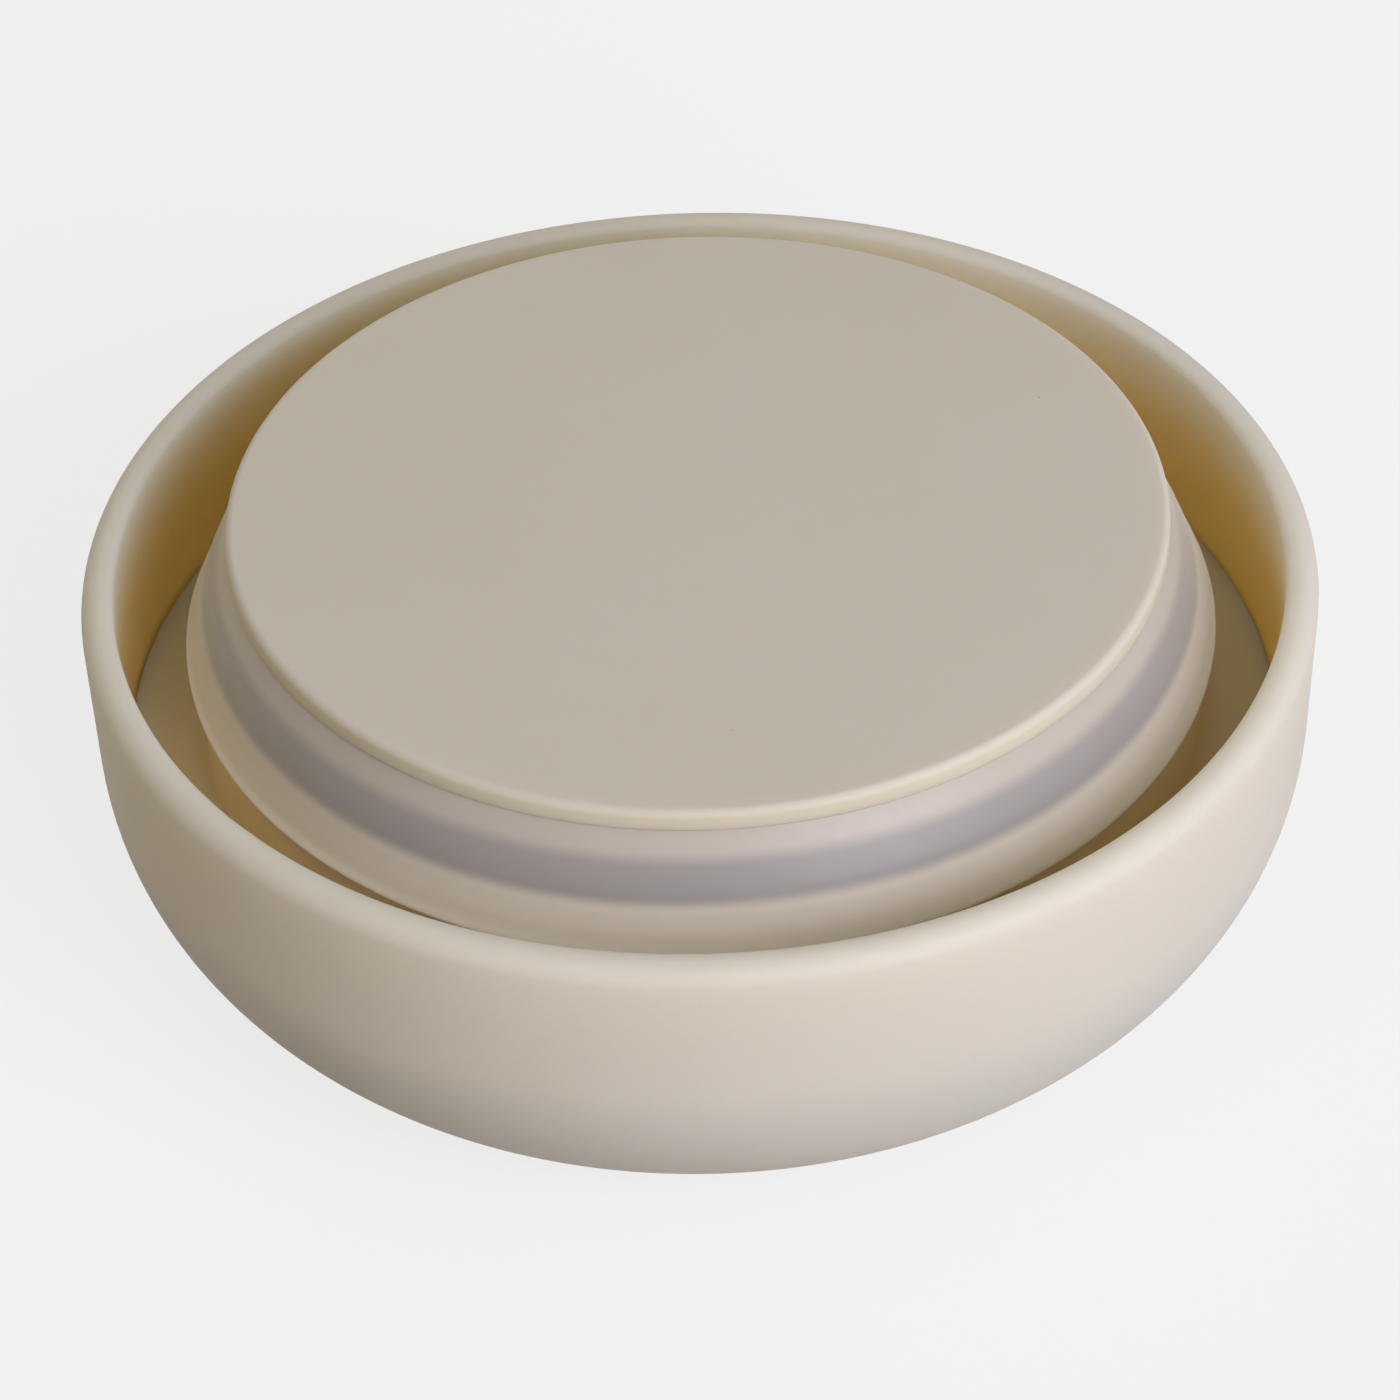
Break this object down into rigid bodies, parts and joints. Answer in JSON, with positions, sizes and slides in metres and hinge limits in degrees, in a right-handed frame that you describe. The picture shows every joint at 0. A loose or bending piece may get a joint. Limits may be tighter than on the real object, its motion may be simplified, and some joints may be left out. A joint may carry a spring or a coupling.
{
  "type": "cheese mould",
  "caption": "Round plastic cheese mould: a deep bowl with a rolled rim and a sprung press follower, whose flat cap and neck are joined by a translucent silicone sleeve.",
  "frame": {"origin": "Centre of the mould's flat base, on the plane that it stands on", "axes": "+Z is the common axis of all turned pieces and points up out of the bowl; X and Y are free, because the outside is round"},
  "size_m": [0.2498, 0.2498, 0.0965],
  "materials": {
    "cream_plastic": "satin moulded high-density polyethylene, cream",
    "milky_silicone": "translucent milky silicone",
    "bearing_plastic": "white bearing plastic",
    "seal_rubber": "red-brown seal rubber",
    "steel": "plain stainless steel"
  },
  "bodies": {
    "mould": {"mould_body": "cream_plastic"},
    "follower": {"follower_plate": "cream_plastic", "guide_bush": "bearing_plastic", "lower_spring_seat": "steel", "press_spring": "steel", "silicone_sleeve": "milky_silicone", "hub_cover": "cream_plastic", "cover_seal": "seal_rubber"},
    "cap": {"press_cap": "cream_plastic", "guide_stem": "steel", "stem_screw_1": "steel", "stem_screw_2": "steel", "stem_screw_3": "steel", "stem_screw_4": "steel", "stop_washer": "steel", "stop_screw": "steel", "upper_spring_seat": "steel"}
  },
  "joints": [
    {"name": "follower_lift", "type": "slide", "parent": "mould", "child": "follower", "axis": [0, 0, 1], "range_m": [0, 0.08]},
    {"name": "cap_press", "type": "slide", "parent": "follower", "child": "cap", "axis": [0, 0, -1], "range_m": [0, 0.006], "stiffness_N_per_m": 1750, "springref_m": -0.008, "deforming": ["silicone_sleeve", "press_spring"]}
  ]
}
